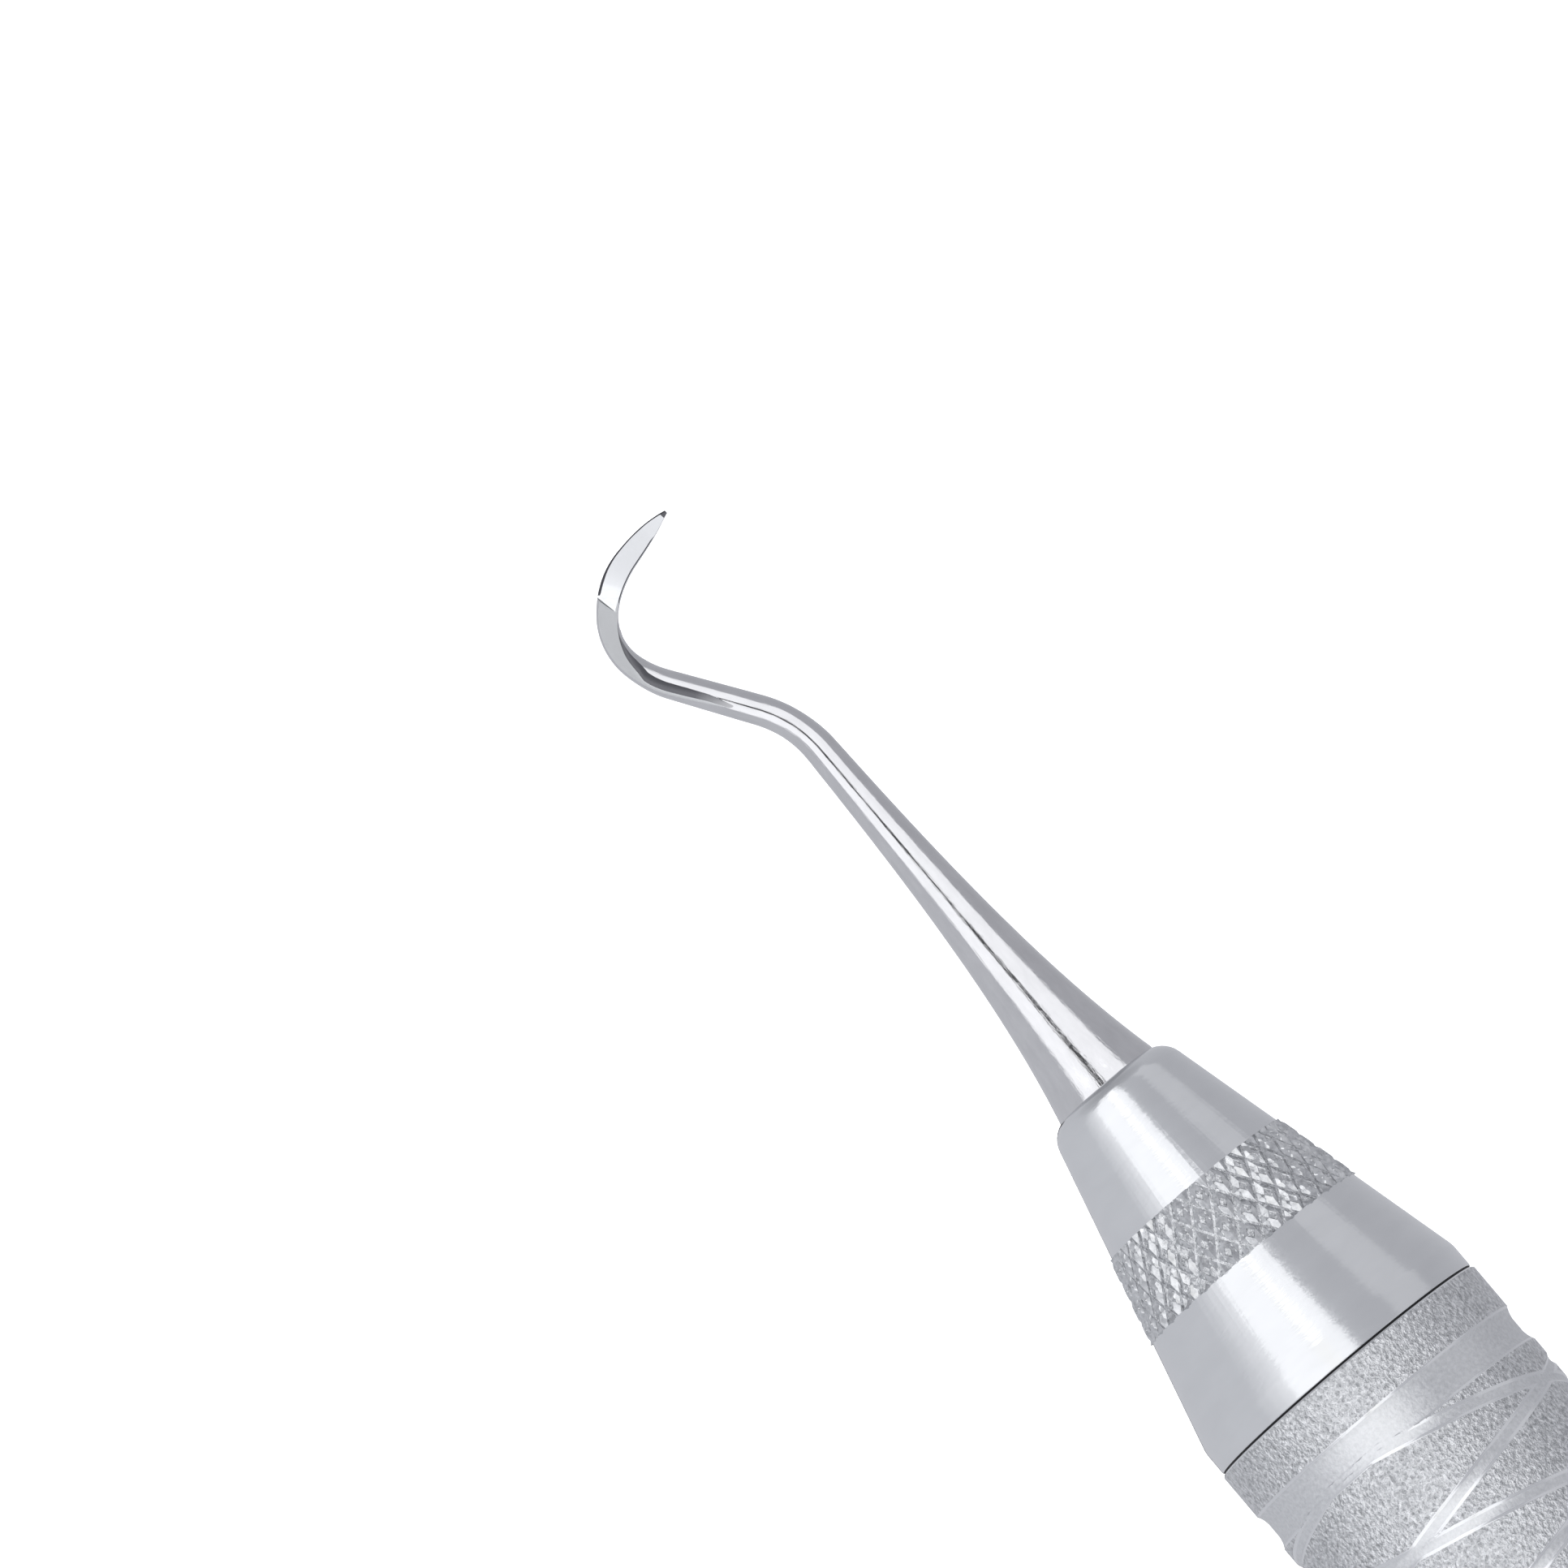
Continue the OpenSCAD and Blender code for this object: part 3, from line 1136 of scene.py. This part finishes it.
# %% Black rubber of the joint rings
seal, shader = new_finish("black_rubber", (0.012, 0.012, 0.013), 0.0, 0.6)
skin = marks(seal, False, (9000, 9000, 9000))
raise_by(seal, shader, skin, 5e-6)
roughen(seal, shader, skin, 0.5, 0.75)

# %% [markdown]
# ## Finished pieces
# Each piece gets its finishes face by face, is shaded smooth up to the angle of its real edges,
# and is shrunk to metres. The rear ferrule and working end are copies with a mesh of their own,
# turned half a turn about Z. The two joint rings are right in CAD already and only take the
# rubber.

# %% Finish, copy and declare


def shrink(obj, edge_angle):
    """Shades a piece smooth between edges sharper than an angle in degrees; makes it metres."""
    only(obj)
    bpy.ops.object.shade_smooth_by_angle(angle=math.radians(edge_angle))
    # Large faces lead the shading, so that slivers between cuts show less
    weigh = obj.modifiers.new("weigh", "WEIGHTED_NORMAL")
    weigh.keep_sharp = True
    apply_modifiers(obj)
    obj.scale = (MM, MM, MM)
    apply_place(obj)


def declare(obj, node):
    """Hangs a piece on the root body and hides the CAD node that it stands for."""
    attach(obj, "root")
    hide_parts(node)


def at_rear(obj, name):
    """A copy of a front piece for the rear end of the handle."""
    only(obj)
    bpy.ops.object.duplicate()
    copy = bpy.context.object
    copy.name = name
    copy.rotation_euler = (0, 0, math.pi)
    apply_place(copy)
    return copy


# The grip's faces are sorted by depth: blasted outside, then a groove's edges, then its floor
edge_depth = 0.006
floor_depth = 0.04
for material in (blasted, groove_polish, groove_floor):
    grip.data.materials.append(material)
for face in grip.data.polygons:
    depth = grip_r - face.center.yz.length
    face.material_index = (depth > edge_depth) + (depth > floor_depth)
# The knurl's tops and walls take darker metals, which are partly painted shade
FERRULE_FINISHES = {TURNED: satin, TORN: knurled, WALL: shaded_knurl_wall}
for slot, material in FERRULE_FINISHES.items():
    front_ferrule.data.materials[slot] = material
END_FINISHES = {POLISHED: polish, FLAT: flat_ground, PAINTED_DARK: painted_shade, FACET: facet_ground}
for slot, material in END_FINISHES.items():
    front_end.data.materials[slot] = material

grip.name = "grip_blasted"
front_end.name = "front_end_ground"
shrink(grip, edge_angle=38)
shrink(front_ferrule, edge_angle=22)
shrink(front_end, edge_angle=24)
rear_ferrule = at_rear(front_ferrule, "rear_ferrule_turned")
rear_end = at_rear(front_end, "rear_end_ground")
declare(grip, "grip_tube")
declare(front_ferrule, "front_ferrule")
declare(rear_ferrule, "rear_ferrule")
declare(front_end, "front_working_end")
declare(rear_end, "rear_working_end")

for node in ("front_joint_ring", "rear_joint_ring"):
    ring = bpy.data.objects[node]
    ring.data.materials.clear()
    ring.data.materials.append(seal)

# %% [markdown]
# ## Floor, lights and camera
# The instrument lies on a plain white sheet that is lit until it is evenly white. Metal shows
# only what it reflects, so the lights are large and plain: a soft grey surround with a narrow
# dark gap overhead, two wide softboxes that leave that gap open over the working ends, and a
# panel ahead of the front blade, whose facets lean that way. The handle has a softbox and a
# filler for the gap, three dimmer strips that let the softbox fade out to one side, and a faint
# fill on the other. Light linking keeps each group of lights on its own pieces, as flags do in
# a studio, and the sheet is kept out of the metal's reflections.

# %% Floor
sheet_size = 3
sheet_clear = 0.0002
deselect_all()
bpy.ops.mesh.primitive_plane_add(size=sheet_size, location=(0, 0, cad_low.z - sheet_clear))
floor = bpy.context.object
floor.name = "floor"
apply_place(floor)
paper, shader = new_finish("white_sheet", (0.9, 0.9, 0.9), 0.0, 0.9)
floor.data.materials.append(paper)
floor.visible_glossy = False

# %% World


def calculate(tree, operation, first, second=None):
    """One step of arithmetic on a socket and another socket or a plain number."""
    node = add(tree, "ShaderNodeMath")
    node.operation = operation
    join(tree, first, node.inputs[0])
    if isinstance(second, (int, float)):
        node.inputs[1].default_value = second
    elif second:
        join(tree, second, node.inputs[1])
    return node.outputs["Value"]


world = bpy.data.worlds.new("studio")
bpy.context.scene.world = world
world.use_nodes = True
background = world.node_tree.nodes["Background"]
background.inputs["Strength"].default_value = 1.0
direction = add(world, "ShaderNodeSeparateXYZ")
join(world, add(world, "ShaderNodeTexCoord").outputs["Generated"], direction.inputs["Vector"])
ahead, sideways = direction.outputs["X"], direction.outputs["Y"]

# Both far ends of the room are a little darker
far_ends = ranged(world, calculate(world, "ABSOLUTE", ahead), (0.80, 1.0), (0.98, 0.75))

# The gap is a dark band overhead, a little to one side, that closes towards the front
gap_middle = 0.06
gap_dark = 0.15
off_gap = calculate(world, "ABSOLUTE", calculate(world, "SUBTRACT", sideways, gap_middle))
beside_gap = ranged(world, off_gap, (0.08, gap_dark), (0.105, 1.0))
before_gap = ranged(world, ahead, (0.50, gap_dark), (0.58, 1.0))
out_of_gap = calculate(world, "MAXIMUM", beside_gap, before_gap)
brightness = calculate(world, "MULTIPLY", far_ends, out_of_gap)
join(world, brightness, background.inputs["Strength"])

# One side of the room is lighter than the other
side_light = ranged(world, sideways, (-1.0, 0.0), (1.0, 1.0))
grey = blend(world, side_light, (0.495, 0.50, 0.535), (0.65, 0.66, 0.70))
join(world, grey, background.inputs["Color"])

# %% Lights
ends = bpy.data.collections.new("lit_working_ends")
for piece in (front_end, rear_end):
    ends.objects.link(piece)
handle = bpy.data.collections.new("lit_handle")
for piece in (grip, front_ferrule, rear_ferrule):
    handle.objects.link(piece)
sheet = bpy.data.collections.new("lit_sheet")
sheet.objects.link(floor)


def softbox(name, start, end, length, brightness, lit, along=(1, 0, 0), over=(0, 0, 0)):
    """A long panel whose edges are at two [angle, distance] places round a line."""
    along = Vector(along)
    side = along.cross(Vector((0, 0, 1)))
    edges = []
    for angle, distance in (start, end):
        a = math.radians(angle)
        edges.append(Vector(over) + (side * math.sin(a) + Vector((0, 0, math.cos(a)))) * distance)
    across = edges[1] - edges[0]
    middle = (edges[0] + edges[1]) / 2
    facing = across.cross(along).normalized()
    if facing.dot(middle) < 0:
        facing = -facing
    data = bpy.data.lights.new(name, "AREA")
    data.shape = "RECTANGLE"
    data.size = length
    data.size_y = across.length
    data.energy = brightness * math.pi * length * across.length
    light = bpy.data.objects.new(name, data)
    bpy.context.scene.collection.objects.link(light)
    turn_to = Matrix((along, facing.cross(along), facing)).transposed()
    light.matrix_world = Matrix.Translation(middle) @ turn_to.to_4x4()
    light.visible_camera = False
    light.light_linking.receiver_collection = lit


# Each panel has a name, both its edges as [angle, distance], a length, a brightness and what it
# lights. Angles are in degrees from straight up: towards -Y for a panel along X, and +X for one
# along Y
cap_middle = (nose_x * MM, 0.025, 0)
softbox("left_box", (-8, 0.45), (-53, 0.5), 0.7, 0.75, ends)
softbox("right_box", (2, 0.45), (58, 0.5), 0.7, 0.75, ends)
softbox("front_cap", (31.5, 0.46), (62, 0.45), 0.5, 0.44, ends, (0, 1, 0), cap_middle)
softbox("handle_box", (17, 0.45), (-40, 0.5), 2.4, 0.64, handle)
softbox("handle_gap", (2, 0.46), (-8.9, 0.46), 2.4, 0.48, handle)
for i, brightness in enumerate((0.30, 0.19, 0.09)):
    angle = -40 - 9 * i
    softbox(f"handle_fade_{i}", (angle, 0.5), (angle - 9, 0.5), 1.4, brightness, handle)
softbox("handle_fill", (55, 0.45), (91, 0.5), 1.4, 0.13, handle)

wash = bpy.data.lights.new("sheet_wash", "SUN")
wash.energy = 4.0
wash.use_shadow = False
wash_light = bpy.data.objects.new("sheet_wash", wash)
bpy.context.scene.collection.objects.link(wash_light)
wash_light.light_linking.receiver_collection = sheet

# %% Camera
view_w = 0.04782
camera_distance = 1.2
sensor_w = 36
tilt = math.radians(4.4)
roll = math.radians(130.265)
aim = Vector((77.33, 1.55, 0)) * MM

camera_data = bpy.data.cameras.new("camera")
camera_data.sensor_width = sensor_w
camera_data.lens = sensor_w * camera_distance / view_w
camera_data.clip_start = 0.01
camera_data.clip_end = 10
camera = bpy.data.objects.new("camera", camera_data)
bpy.context.scene.collection.objects.link(camera)
along = Vector((math.cos(tilt), 0, math.sin(tilt)))
across = Vector((0, 1, 0))
back = along.cross(across)
right = along * math.cos(roll) - across * math.sin(roll)
up = along * math.sin(roll) + across * math.cos(roll)
camera.matrix_world = Matrix.Translation(aim + back * camera_distance) @ Matrix(
    (right, up, back)
).transposed().to_4x4()
bpy.context.scene.camera = camera
bpy.context.scene.view_settings.view_transform = "Standard"
